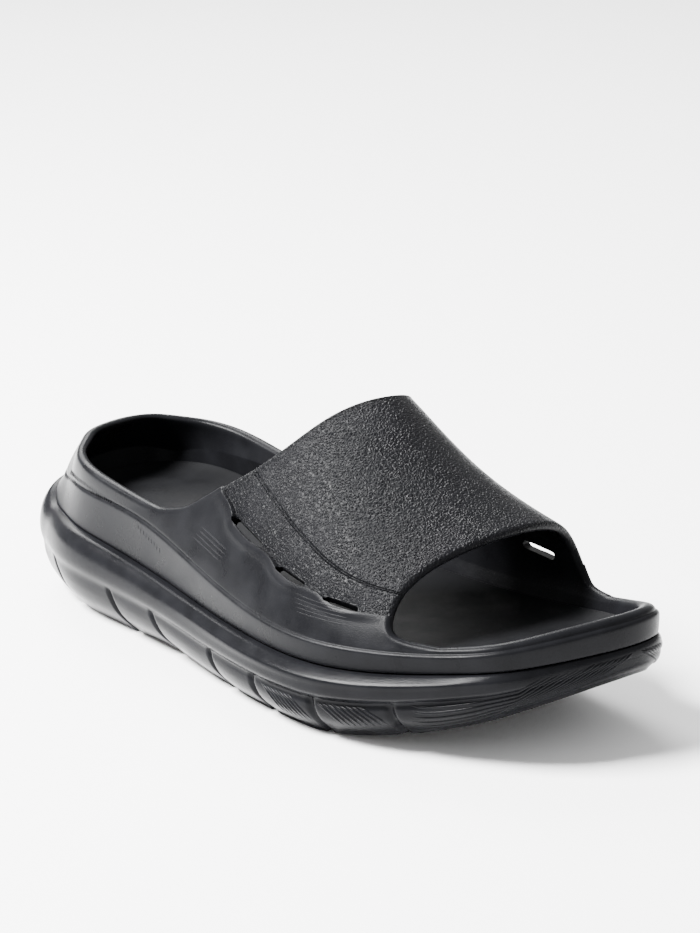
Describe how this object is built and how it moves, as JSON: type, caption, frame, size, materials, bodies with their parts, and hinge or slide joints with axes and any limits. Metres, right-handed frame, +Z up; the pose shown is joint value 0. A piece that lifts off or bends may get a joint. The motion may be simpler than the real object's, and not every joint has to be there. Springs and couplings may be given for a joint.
{
  "type": "slide sandal",
  "caption": "Thick-soled foam slide sandal with a one-piece strap over the instep, a raised heel collar and a lugged sole.",
  "frame": {"origin": "on the floor, under the middle of the shoe's box", "axes": "+X from heel to toe, +Y to the wearer's left, which is the medial side of this right shoe, +Z up"},
  "size_m": [0.2906, 0.1117, 0.0999],
  "materials": {
    "upper foam": "satin",
    "footbed foam": "matte",
    "sole foam": "satin"
  },
  "bodies": {
    "root": {"upper": "upper foam", "footbed": "footbed foam", "sole": "sole foam"}
  },
  "joints": []
}
